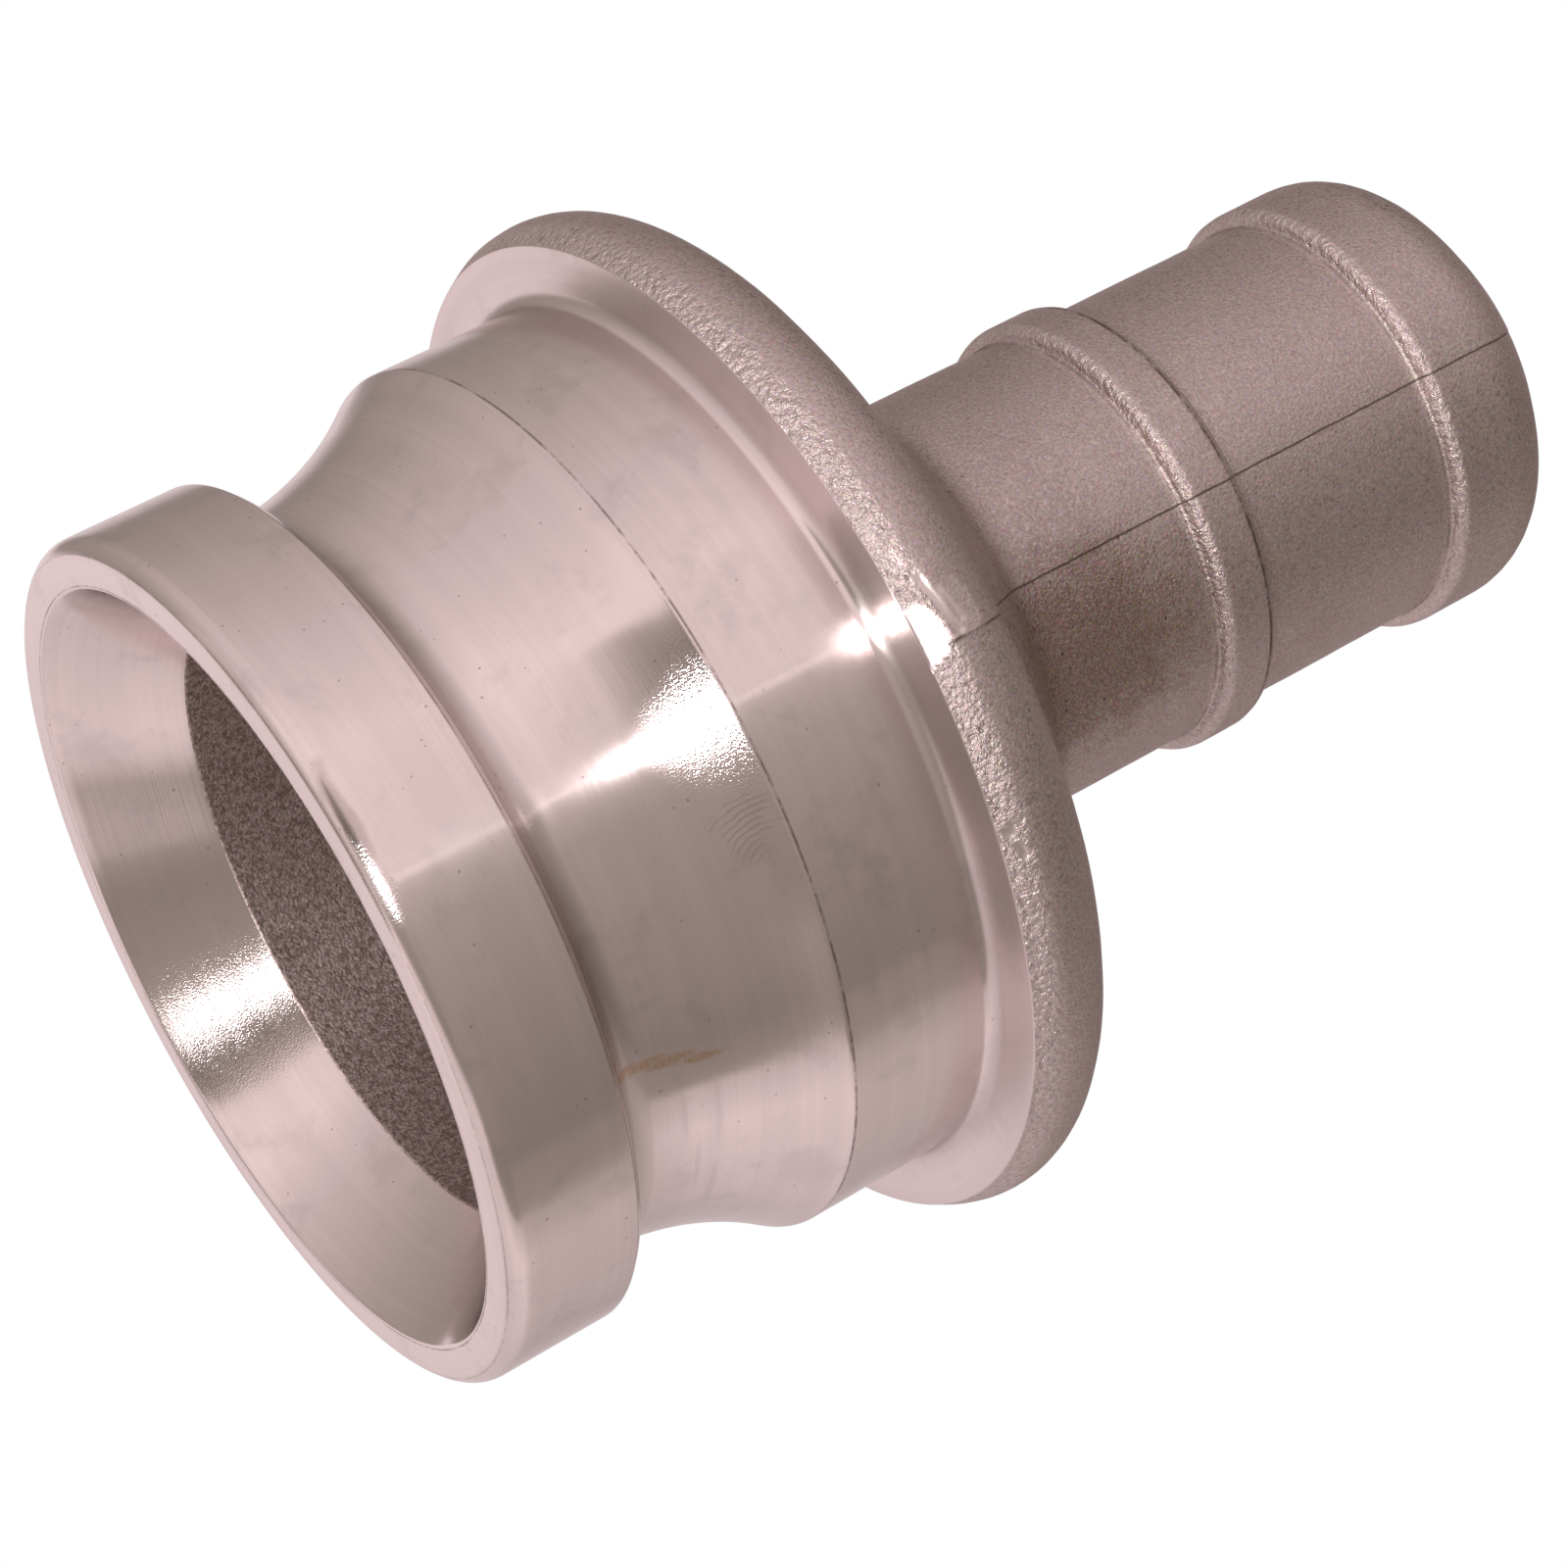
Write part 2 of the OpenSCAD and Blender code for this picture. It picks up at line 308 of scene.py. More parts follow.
stretch(straight((tip_ring_r, tip_h), (bore_r, tip_h)), CAST, ARC_STEP, soft=0.2)
stretch(straight((bore_r, tip_h), bore_from), CAST, HIDDEN_STEP, soft=0.2)
stretch(bore_arc, CAST, GRAIN_STEP)
stretch(straight(bore_to, chamber_from), CAST, HIDDEN_STEP)
stretch(chamber_arc, CAST, GRAIN_STEP)
stretch(straight(chamber_to, (throat_r, throat_h)), CAST, 2 * GRAIN_STEP)
stretch(straight((throat_r, throat_h), (mouth_r, 0)), TURNED, OPEN_STEP, soft=0.2)
print(len(section), "stretches, bore from", round(bore_from[1], 2), "chamber to", round(chamber_end_h, 2))

# %% [markdown]
# ## Rings of points
#
# Now the stretches become one row of points, one for each ring of the surface. Where an edge is
# softened, both curves stop short of the corner, and a small curve that leans on the corner
# joins them. Besides its place, each ring keeps the way walked so far. The turning marks use it
# later: a lathe tool advances along the section, so its marks are evenly spaced along that way
# and not along the height.

# %% Turn the section into rings
SOFT_POINTS = np.array([0.25, 0.5, 0.75])


def lean_on(corner, start, end):
    """Points between start and end that are drawn towards a corner, with the weights (1 - t)^2,
    2 t (1 - t) and t^2 for start, corner and end."""
    t = SOFT_POINTS[:, None]
    return (1 - t) ** 2 * start + 2 * t * (1 - t) * corner + t ** 2 * end


rings, ring_finish, ring_stretch = [], [], []
for number, part in enumerate(section):
    after = section[(number + 1) % len(section)]
    first, last = part["soft"] / part["length"], 1 - after["soft"] / part["length"]
    count = max(1, math.ceil(part["length"] * (last - first) / part["step"]))
    points = part["points"](np.linspace(first, last, count + 1))
    if after["soft"]:
        corner = part["points"](np.array([1.0]))
        onward = after["points"](np.array([after["soft"] / after["length"]]))
        points = np.vstack([points, lean_on(corner, points[-1:], onward)])
    else:
        points = points[:-1]
    rings.append(points)
    ring_finish += [part["finish"]] * len(points)
    ring_stretch += [number] * len(points)
rings = np.vstack(rings)
ring_finish, ring_stretch = np.array(ring_finish), np.array(ring_stretch)
ring_ways = np.linalg.norm(np.diff(rings, axis=0), axis=1)
ring_run = np.concatenate([[0], np.cumsum(ring_ways)])
print(len(rings), "rings,", round(ring_run[-1], 1), "mm round the section")

# %% [markdown]
# Oil and dust collect in thin lines: in the corner at a foot, and along an edge that the tool
# left. The same lines also carry painted shade, the darkening that falls in such a crease or
# beside such an edge. Each ring therefore also keeps how far it is from the nearest such line,
# and how much dirt and shade that line holds. A distance can be stretched between rings without
# harm, so the line comes out far thinner than the rings are spaced. The rings of a worn stretch
# keep that too, and their colour is lightened later as a painted highlight.

# %% Measure each ring's way to the nearest dark line
dirty_and_shaded = [number for number, part in enumerate(section) if part["dirt_and_shade"]]
line_runs = np.array([ring_run[np.flatnonzero(ring_stretch == number)[0]] for number in dirty_and_shaded])
line_dirts_and_shades = np.array([section[number]["dirt_and_shade"] for number in dirty_and_shaded])
line_ways = np.abs(ring_run[:, None] - line_runs)
nearest = line_ways.argmin(axis=1)
line_way, line_dirt_and_shade = line_ways.min(axis=1), line_dirts_and_shades[nearest]
ring_worn_and_sheen = np.array([section[number]["worn_and_sheen"] for number in ring_stretch])
print(len(dirty_and_shaded), "dirty lines at", np.round(line_runs, 1), "mm along the section")

# %% [markdown]
# ## Columns
#
# The rings are crossed by columns of points that run along the part. Most are evenly spaced.
# At the parting line, where the two mould halves met, the surface makes a small step, and
# beside it the collar was ground. Further round, the rim took a knock. The columns crowd
# together at these places. The crowding is a set of bumps in a density function, and the
# columns are placed where the sum of that density reaches even steps.

# %% Place the columns
column_count, fine_count = 280, 20001
seam_turn = math.radians(-86.3)
knock_turn = math.radians(-65.5)
crowds = ((seam_turn - math.radians(1.2), math.radians(4.5), 6.0),
          (seam_turn + math.pi, math.radians(1.5), 4.0),
          (knock_turn, math.radians(3.0), 3.0))


def turn_from(turn, centre):
    """The angle from centre to turn, the short way round."""
    return (turn - centre + np.pi) % (2 * np.pi) - np.pi


fine = np.linspace(-np.pi, np.pi, fine_count)
density = 1 + sum(share * np.exp(-(turn_from(fine, centre) / width) ** 2)
                  for centre, width, share in crowds)
total = np.concatenate([[0], np.cumsum((density[1:] + density[:-1]) / 2)])
column_turn = np.interp(np.arange(column_count) / column_count * total[-1], total, fine)
gaps = np.degrees(np.diff(column_turn))
print(column_count, "columns,", round(gaps.min(), 3), "to", round(gaps.max(), 3), "degrees apart")

# %% [markdown]
# ## Round the axis
#
# Every ring point is now carried to every column: its distance from the axis goes outwards in
# the column's direction, and its height stays. That gives the whole surface as one array. The
# direction in which the surface faces comes from each ring's two neighbours, and is needed to
# push points in and out.

# %% Carry the rings round the axis
turns = column_turn[None, :]
outward = np.stack([np.cos(turns), np.sin(turns), np.zeros_like(turns)], axis=-1)
upward = np.array([0.0, 0.0, 1.0])
surface = rings[:, None, 0, None] * outward + rings[:, None, 1, None] * upward

ring_slope = np.roll(rings, -1, axis=0) - np.roll(rings, 1, axis=0)
ring_slope /= np.linalg.norm(ring_slope, axis=1, keepdims=True)
facing = ring_slope[:, None, 1, None] * outward - ring_slope[:, None, 0, None] * upward
print("surface of", surface.shape[0], "by", surface.shape[1], "points")

# %% [markdown]
# ## What the foundry left
#
# A casting is never quite round. Its skin waves by a few hundredths of a millimetre, because
# the sand did. The two mould halves met with a small shift, which shows as a step all the way
# along the parting line. Noise gives the waves: random values on a lattice of cubes, blended
# between the corners. All of these are worked out for every point at once, as arrays, and they
# only ever take metal away, so that the piece stays inside the frame. They fade out where the
# cast skin meets the turned metal, because the lathe cut that edge true.

# %% Wave the cast skin and step it at the parting line
LATTICE = 64
wave_cell, wave_depth, wave_seed = 7.0, 0.08, 11
ripple_cell, ripple_depth, ripple_seed = 2.3, 0.035, 12
mismatch = 0.14
fade_len = 0.7


def value_noise(points, cell, seed):
    """Smooth noise from -1 to 1. Each corner of a lattice with the given cell size has a random
    value, and a point blends its eight corners with the weights 3 t^2 - 2 t^3 along each axis."""
    table = np.random.default_rng(seed).uniform(-1, 1, (LATTICE,) * 3)
    place = points / cell
    low = np.floor(place).astype(int)
    t = place - low
    t = t * t * (3 - 2 * t)
    blend = np.zeros(points.shape[:-1])
    for corner in np.ndindex(2, 2, 2):
        weight = np.prod(np.where(corner, t, 1 - t), axis=-1)
        lattice = (low + corner) % LATTICE
        blend += weight * table[lattice[..., 0], lattice[..., 1], lattice[..., 2]]
    return blend


cast_rows = np.flatnonzero(ring_finish == CAST)
from_edge = np.minimum(ring_run - ring_run[cast_rows[0]], ring_run[cast_rows[-1]] - ring_run)
rough_share = np.clip(from_edge / fade_len, 0, 1)[:, None]
waves = wave_depth * (value_noise(surface, wave_cell, wave_seed) - 1) / 2
ripples = ripple_depth * (value_noise(surface, ripple_cell, ripple_seed) - 1) / 2
uneven = rough_share * (waves + ripples)
past_seam = turn_from(turns, seam_turn)
shifted = (past_seam > 0) & (past_seam < np.pi)
step_down = -mismatch * shifted * (1 + np.cos(past_seam)) / 2
outer_skin = ((ring_stretch >= rim_row) & (ring_stretch < tip_row))[:, None]
surface += uneven[..., None] * facing
surface += (rough_share * outer_skin * step_down)[..., None] * outward
print("cast rings", len(cast_rows), "deepest", round(float(uneven.min()), 3), "mm")

# %% [markdown]
# Flash, the thin web that leaked between the mould halves, was ground off the collar at the
# parting line. A grinding wheel leaves small flats: all metal beyond a plane is gone. Each flat
# runs out smoothly on one side, and on the other it stops with a step, where the wheel did.

# %% Grind the flash off
def grind(turn, tilt, stop_low, stop_high, depth):
    """The metal beyond a plane, as vectors, and its thickness. The plane faces a turn, tilts down
    by an angle, and cuts the round rim to a depth. It stops at a line that leans from one turn at
    the rim's lower end to another at its middle."""
    normal = np.array([math.cos(turn) * math.cos(tilt), math.sin(turn) * math.cos(tilt), -math.sin(tilt)])
    reach = rim_arc_r * math.cos(tilt) - rim_arc_h * math.sin(tilt) + rim_round - depth
    up_share = (surface[..., 2] - collar_h) / (rim_arc_h - collar_h)
    stop = stop_low + (stop_high - stop_low) * up_share
    before_stop = np.clip((stop - turns) * collar_r / stop_edge + 0.5, 0, 1)
    beyond = np.maximum(surface @ normal - reach, 0) * before_stop * outer_skin
    return beyond[..., None] * normal, beyond


stop_edge = 0.2
bare_depth = 0.03
ground_flats = ((-85.0, 29, -84.7, -86.4, 0.36, 1.0), (-88.0, -9, -86.3, -86.3, 0.26, 0.35))
ground = np.zeros(surface.shape[:2])
for *angles, depth, shine in ground_flats:
    removed, gone = grind(*(math.radians(angle) for angle in angles), depth)
    surface -= removed
    ground = np.maximum(ground, np.clip(gone / bare_depth, 0, 1) * shine)
print(len(ground_flats), "flats, ground points", int((ground > 0.5).sum()))

# %% [markdown]
# Knocks and scratches are simpler: a smooth hollow round a point, or along a line. Every place
# is given as a turn round the axis and a height, with the hollow's radius and depth, the way
# along it, and how bright the metal in it is. The marks by the parting line come first, then
# the knock on the rim, and last the single dings.

# %% Knock the rim
def hollow(turn, height, radius, depth, along=(0.0, 0.0)):
    """The depth of a smooth hollow, depth exp(-(distance / radius)^2), where the distance is to the
    line from the place to the place plus along. Both are a turn and a height, in mm on the rim."""
    side = turn_from(turns, turn) * collar_r
    rise = surface[..., 2] - height
    length = math.hypot(*along)
    t = np.clip((side * along[0] + rise * along[1]) / max(length, MM) ** 2, 0, 1)
    away = np.hypot(side - t * along[0], rise - t * along[1])
    return depth * np.exp(-(away / radius) ** 2) * outer_skin


marks_left = (
    (-93.4, 56.5, 0.40, 0.20, (6.2, 1.4), 0.9), (-91.6, 57.8, 0.30, 0.14, (3.6, 0.8), 0.9),
    (-99.2, 54.8, 0.35, 0.08, (6.4, 0.7), 0.2), (-96.6, 55.6, 0.25, 0.10, (1.6, 0.1), 0.4),
    (-66.6, 55.1, 0.60, 0.28, (0.0, 0.0), 0.9), (-65.2, 55.5, 0.45, 0.22, (0.9, 0.3), 0.9),
    (-64.0, 55.9, 0.40, 0.20, (0.0, 0.0), 0.6), (-67.6, 55.6, 0.35, 0.14, (0.0, 0.5), 0.9),
    (-162.0, 55.2, 0.50, 0.12, (1.2, 0.2), 0.3), (-168.4, 54.4, 0.90, 0.30, (0.0, 0.0), 0.0),
    (-52.5, 60.2, 0.60, 0.12, (0.6, 0.3), 0.0))
for turn, height, radius, depth, along, shine in marks_left:
    dug = hollow(math.radians(turn), height, radius, depth, along)
    surface -= dug[..., None] * facing
    ground = np.maximum(ground, np.clip(2 * dug / depth, 0, 1) * shine)
print(len(marks_left), "hollows, bright points", int((ground > 0.5).sum()))

# %% [markdown]
# ## One closed mesh
#
# Each cell between two rings and two columns is one face. Both directions close on themselves,
# so the mesh has no pole and no border: it is a ring doughnut, stretched into an adapter. The
# corners of a face go first round the axis and then along the section, which makes the face
# look outwards.

# %% Build the mesh
def grid_faces(rows, columns):
    """Corner numbers of the cells of a grid that closes both ways, row by row."""
    row, column = np.meshgrid(np.arange(rows), np.arange(columns), indexing="ij")
    next_row, next_column = (row + 1) % rows, (column + 1) % columns
    corners = [row * columns + column, row * columns + next_column,
               next_row * columns + next_column, next_row * columns + column]
    return np.stack(corners, axis=-1).reshape(-1, 4)


def mesh_from_grid(name, points, material_rows):
    """A mesh whose faces are the cells of a closed grid of points, in metres."""
    rows, columns = points.shape[:2]
    faces = grid_faces(rows, columns)
    mesh = bpy.data.meshes.new(name)
    mesh.vertices.add(rows * columns)
    mesh.vertices.foreach_set("co", (points * MM).ravel())
    mesh.loops.add(faces.size)
    mesh.loops.foreach_set("vertex_index", faces.ravel())
    mesh.polygons.add(len(faces))
    mesh.polygons.foreach_set("loop_start", np.arange(0, faces.size, 4))
    mesh.polygons.foreach_set("material_index", np.repeat(material_rows, columns))
    mesh.update(calc_edges=True)
    mesh.shade_smooth()
    return mesh


body_mesh = mesh_from_grid("adapter", surface, np.where(ring_finish == TURNED, 0, 1))
ring_layers = {"run": ring_run * MM, "line_way": line_way * MM, "line_dirt_and_shade": line_dirt_and_shade, "worn_and_sheen": ring_worn_and_sheen}
layers = {name: np.repeat(values, column_count) for name, values in ring_layers.items()}
for layer_name, values in {**layers, "ground": ground.ravel()}.items():
    layer = body_mesh.attributes.new(layer_name, "FLOAT", "POINT")
    layer.data.foreach_set("value", values)
adapter = bpy.data.objects.new("adapter", body_mesh)
bpy.context.collection.objects.link(adapter)
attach(adapter, "root")
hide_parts("adapter_body")
print("mesh valid:", not body_mesh.validate(), "triangles:", 2 * len(body_mesh.polygons))

# %% [markdown]
# ## Helpers for shader nodes
#
# A material is a graph of nodes. A few small helpers keep the recipes readable: they make a
# node and fill or link its inputs, do one step of arithmetic, or make a node group with named
# sockets. A group holds an effect that both materials share, and gives out only masks, values
# and heights, which the material's own shader then uses.

# %% Node helpers
def fill(tree, node, inputs):
    """Sets each named input of a node to a value, or links it to an output."""
    for key, value in inputs.items():
        if isinstance(value, bpy.types.NodeSocket):
            tree.links.new(value, node.inputs[key])
        else:
            node.inputs[key].default_value = value


def make_node(tree, kind, inputs=None, **settings):
    """A node of the given kind, with its settings and its inputs."""
    node = tree.nodes.new(kind)
    for key, value in settings.items():
        setattr(node, key, value)
    fill(tree, node, inputs or {})
    return node


def maths(tree, operation, *values):
    """The result of one arithmetic step."""
    return make_node(tree, "ShaderNodeMath", dict(enumerate(values)), operation=operation).outputs[0]


def times(tree, value, factor):
    """The product of two values."""
    return maths(tree, "MULTIPLY", value, factor)


def times_plus(tree, value, factor, more):
    """The product of two values, and a third added to it."""
    return maths(tree, "MULTIPLY_ADD", value, factor, more)


def larger(tree, value, other):
    """The larger of two values."""
    return maths(tree, "MAXIMUM", value, other)


def ease(tree, value, low, high, to_low=0.0, to_high=1.0):
    """The value's way from low to high, eased in and out, spread over to_low to to_high."""
    inputs = {"Value": value, "From Min": low, "From Max": high, "To Min": to_low, "To Max": to_high}
    return make_node(tree, "ShaderNodeMapRange", inputs, interpolation_type="SMOOTHSTEP").outputs[0]


def noise(tree, place, scale, detail=2.0, roughness=0.5):
    """Smooth noise at a place, mostly between 0.3 and 0.7."""
    inputs = {"Vector": place, "Scale": scale, "Detail": detail, "Roughness": roughness}
    return make_node(tree, "ShaderNodeTexNoise", inputs).outputs[0]


def axes(tree, place):
    """The X, Y and Z of a place."""
    return make_node(tree, "ShaderNodeSeparateXYZ", {"Vector": place}).outputs


def new_group(name, inputs, outputs):
    """A node group with named sockets: its tree, what it is given, and the node of its results."""
    tree = bpy.data.node_groups.new(name, "ShaderNodeTree")
    for direction, sockets in (("INPUT", inputs), ("OUTPUT", outputs)):
        for socket, kind in sockets.items():
            tree.interface.new_socket(name=socket, in_out=direction, socket_type="NodeSocket" + kind)
    return tree, tree.nodes.new("NodeGroupInput").outputs, tree.nodes.new("NodeGroupOutput")


def use_group(tree, group, inputs):
    """Places a node group in a tree with the given inputs: its outputs."""
    return make_node(tree, "ShaderNodeGroup", inputs, node_tree=group).outputs


print("helpers ready")

# %% [markdown]
# ## Sand grain
#
# Green sand leaves a skin of tiny lumps, a third of a millimetre across, with a pit here and
# there where a grain came loose. The lumps are noise at the scale of a grain, and a coarser
# noise gathers them in clods. The pits are the centres of random cells: only some of the cells
# get one, each with its own size, and a noise bends their outlines. Smaller cells stand for
# the grains. A few of these are marked as sparks, the smooth ones that glint.

# %% Group: sand grain
def random_cells(tree, place, scale):
    """Cells of random outline: a random number for each, and the distance from its middle."""
    cells = make_node(tree, "ShaderNodeTexVoronoi", {"Vector": place, "Scale": scale}).outputs
    draw = make_node(tree, "ShaderNodeSeparateColor", {"Color": cells["Color"]}).outputs["Red"]
    return draw, cells["Distance"]


grain_group, given, result = new_group(
    "sand_grain", {"Place": "Vector", "Grain": "Float", "Share": "Float"},
    {"Height": "Float", "Speckle": "Float", "Pit": "Float", "Spark": "Float"})
tree, place = grain_group, given["Place"]
fine_scale = maths(tree, "DIVIDE", 1.0, given["Grain"])
lumps = noise(tree, place, fine_scale, 3.0, 0.7)
clods = noise(tree, place, times(tree, fine_scale, 0.2), 3.0)
pit_draw, from_middle = random_cells(tree, place, times(tree, fine_scale, 0.35))
spark_draw, from_top = random_cells(tree, place, times(tree, fine_scale, 0.8))
no_pit_below = maths(tree, "SUBTRACT", 1.0, given["Share"])
has_pit = maths(tree, "GREATER_THAN", pit_draw, no_pit_below)
pit_size = times(tree, ease(tree, pit_draw, no_pit_below, 1.0), 0.3)
into_pit = maths(tree, "SUBTRACT", pit_size, times_plus(tree, lumps, 0.35, from_middle))
pit = times(tree, has_pit, ease(tree, into_pit, -0.17, -0.05))
domed = times_plus(tree, from_top, -0.6, lumps)
both = times_plus(tree, clods, 0.5, domed)
fill(tree, result, {
    "Height": maths(tree, "SUBTRACT", both, pit), "Speckle": ease(tree, lumps, 0.3, 0.7),
    "Pit": pit, "Spark": ease(tree, spark_draw, 0.8, 0.95)})
print(tree.name, len(tree.nodes), "nodes")

# %% [markdown]
# ## Turning marks
#
# A turned surface is a very fine thread: the tool cuts one groove per turn. Single grooves are
# too fine to see here, but their depth wanders, and that shows as rings. Noise that runs fast
# along the section and hardly at all round the axis gives those rings. The way along the
# section is stored on the mesh, so the rings stay even over flat, cone and round alike. The
# same noise, run slower, gives the broad bands in which many rings are a little duller.

# %% Group: turning marks
round_share, band_share = 11.0, 0.12
marks_group, given, result = new_group(
    "turning_marks", {"Place": "Vector", "Run": "Float", "Pitch": "Float"},
    {"Height": "Float", "Band": "Float"})
tree = marks_group
spread = axes(tree, given["Place"])
across = {"Y": times(tree, spread["X"], round_share), "Z": times(tree, spread["Y"], round_share)}
fine_run = maths(tree, "DIVIDE", given["Run"], given["Pitch"])
band_run = times(tree, fine_run, band_share)
for output, run, detail in (("Height", fine_run, 1.0), ("Band", band_run, 2.0)):
    where = make_node(tree, "ShaderNodeCombineXYZ", {"X": run, **across}).outputs[0]
    fill(tree, result, {output: noise(tree, where, 1.0, detail)})
print(tree.name, len(tree.nodes), "nodes")

# %% [markdown]
# ## Smudges
#
# Handling leaves soft patches on both finishes: cutting oil that dried, and dust that settled
# in the sand texture. One group gives a mask of such patches at any size. It is used wide and
# faint on the cast skin, and smaller on the turned metal.

# %% Group: smudges
smudge_group, given, result = new_group(
    "smudges", {"Place": "Vector", "Size": "Float", "Cover": "Float"}, {"Mask": "Float"})
tree = smudge_group
patches = noise(tree, given["Place"], maths(tree, "DIVIDE", 1.0, given["Size"]), 4.0, 0.6)
edge = maths(tree, "SUBTRACT", 0.75, times(tree, given["Cover"], 0.5))
fill(tree, result, {"Mask": ease(tree, patches, edge, maths(tree, "ADD", edge, 0.28))})
print(tree.name, len(tree.nodes), "nodes")

# %% [markdown]
# ## The parting line
#
# The line where the mould halves met is a half plane through the axis. A point's distance from
# it is one dot product, and a second one tells the near side of the axis from the far side. A
# little noise makes the line waver as a real one does.

# %% Group: parting line
def dot(tree, place, way):
    """How far a place lies along a unit vector."""
    return make_node(tree, "ShaderNodeVectorMath", {0: place, 1: way},
                     operation="DOT_PRODUCT").outputs["Value"]


line_group, given, result = new_group(
    "parting_line", {"Place": "Vector", "Width": "Float"}, {"Line": "Float"})
tree, place = line_group, given["Place"]
aside = dot(tree, place, (-math.sin(seam_turn), math.cos(seam_turn), 0))
near = dot(tree, place, (math.cos(seam_turn), math.sin(seam_turn), 0))
waver = maths(tree, "SUBTRACT", noise(tree, place, 260.0, 5.0), 0.5)
wavered = maths(tree, "ABSOLUTE", times_plus(tree, waver, 0.0005, aside))
line = ease(tree, wavered, given["Width"], times(tree, given["Width"], 0.3))
fill(tree, result, {"Line": times(tree, line, ease(tree, near, 0.0, 0.002))})
print(tree.name, len(tree.nodes), "nodes")

# %% [markdown]
# ## Spots
#
# Stains, finger marks and dusty places each sit at one place of the surface. A spot is an ellipse
# there, given by its turn, its height and half its width each way, with a ragged edge from
# noise. Its Reach output grows evenly from the middle outwards, and the ridges of a finger
# mark are made from it.

# %% Group: spot
spot_group, given, result = new_group(
    "spot", {"Place": "Vector", "Turn": "Float", "Height": "Float", "Half turn": "Float",
             "Half height": "Float", "Ragged": "Float"}, {"Mask": "Float", "Reach": "Float"})
tree, place = spot_group, given["Place"]
split = axes(tree, place)
off_turn = maths(tree, "SUBTRACT", maths(tree, "ARCTAN2", split["Y"], split["X"]), given["Turn"])
off_turn = maths(tree, "WRAP", off_turn, math.pi, -math.pi)
off_height = maths(tree, "SUBTRACT", split["Z"], given["Height"])
sides = []
for off, half in ((off_turn, given["Half turn"]), (off_height, given["Half height"])):
    share = maths(tree, "ABSOLUTE", maths(tree, "DIVIDE", off, half))
    sides.append(maths(tree, "POWER", share, 2.0))
reach = maths(tree, "SQRT", maths(tree, "ADD", *sides))
fray = maths(tree, "SUBTRACT", noise(tree, place, 350.0, 3.0), 0.5)
frayed = times_plus(tree, fray, given["Ragged"], reach)
fill(tree, result, {"Mask": ease(tree, frayed, 1.0, 0.35), "Reach": reach})
print(tree.name, len(tree.nodes), "nodes")


def spot(tree, place, turn, height, half_turn, half_height, ragged=1.0):
    """A spot at a turn in degrees and a height in mm, with half its width each way."""
    return use_group(tree, spot_group, {
        "Place": place, "Turn": math.radians(turn), "Height": height * MM,
        "Half turn": math.radians(half_turn), "Half height": half_height * MM, "Ragged": ragged})


def spots(tree, place, places, ragged):
    """The masks of several spots as one."""
    mask = 0.0
    for each in places:
        mask = larger(tree, spot(tree, place, *each, ragged)["Mask"], mask)
    return mask


# %% [markdown]
# ## Helpers for materials
#
# Both materials are put together the same way: a base colour with thin coats of other colours
# over it, each with a mask for its share, and a few heights stacked on each other as bump.

# %% Material helpers
def new_material(name, colour):
    """A material with an empty tree: the material, its tree, its shader and its coordinates."""
    material = bpy.data.materials.new(name)
    material.use_nodes = True
    material.diffuse_color = (*colour, 1)
    tree = material.node_tree
    shader = tree.nodes["Principled BSDF"]
    place = make_node(tree, "ShaderNodeTexCoord").outputs["Object"]
    return material, tree, shader, place


def blend_colour(tree, factor, low, high, blend_type="MIX"):
    """A colour between low and high. Each is a plain colour or a link to one."""
    low, high = (end if isinstance(end, bpy.types.NodeSocket) else (*end, 1) for end in (low, high))
    return make_node(tree, "ShaderNodeMix", {"Factor": factor, "A": low, "B": high},
                     data_type="RGBA", blend_type=blend_type).outputs["Result"]


def coated(tree, colour, coats):
    """A colour with coats laid over it one by one, each given by its share and its colour."""
    for share, coat in coats:
        colour = blend_colour(tree, share, colour, coat)
    return colour


def stored(tree, name):
    """The values that the mesh keeps under a name."""
    return make_node(tree, "ShaderNodeAttribute", attribute_name=name).outputs["Fac"]


def dirt_and_shade_lines(tree, place, half_width):
    """A mask of the dark lines, dirt and painted shade at creases and edges: full at a line, gone at half
    its width, and broken by noise.
    """
    line = ease(tree, stored(tree, "line_way"), half_width, half_width * 0.3)
    broken = ease(tree, noise(tree, place, 150.0, 5.0, 0.9), 0.38, 0.58, 0.1, 1.0)
    return times(tree, times(tree, line, stored(tree, "line_dirt_and_shade")), broken)


def bumped(tree, heights):
    """The way a surface faces with heights stacked on it, each with its strength and depth."""
    beneath = {}
    for height, strength, depth in heights:
        inputs = {"Height": height, "Strength": strength, "Distance": depth, **beneath}
        beneath = {"Normal": make_node(tree, "ShaderNodeBump", inputs).outputs[0]}
    return beneath["Normal"]


print("material helpers ready")

# %% [markdown]
# ## Turned aluminium: what lies on it
#
# The turned end has been handled and stored. Smudges and fine specks lie all over it, and a few
# places are its own: a run of dried oil in the groove, scuffs beside it and a finger mark on the
# flare. A dark patch on the lip's rounding, beside the lamp's highlight, is a painted reflection
# of the dark board round the lamp. In three places the metal is slightly etched, which makes it
# hazy. The collar's face was cut with a coarser feed and is duller.

# %% Turned aluminium: marks, spots and places
thread_pitch, speck_size, smudge_size, turned_line = 0.00028, 0.00022, 0.007, 0.0002
turned_colour = (0.86, 0.765, 0.75)
greyed = (0.66, 0.60, 0.585)
oiled = (0.66, 0.42, 0.20)
finger_red = (0.66, 0.50, 0.46)
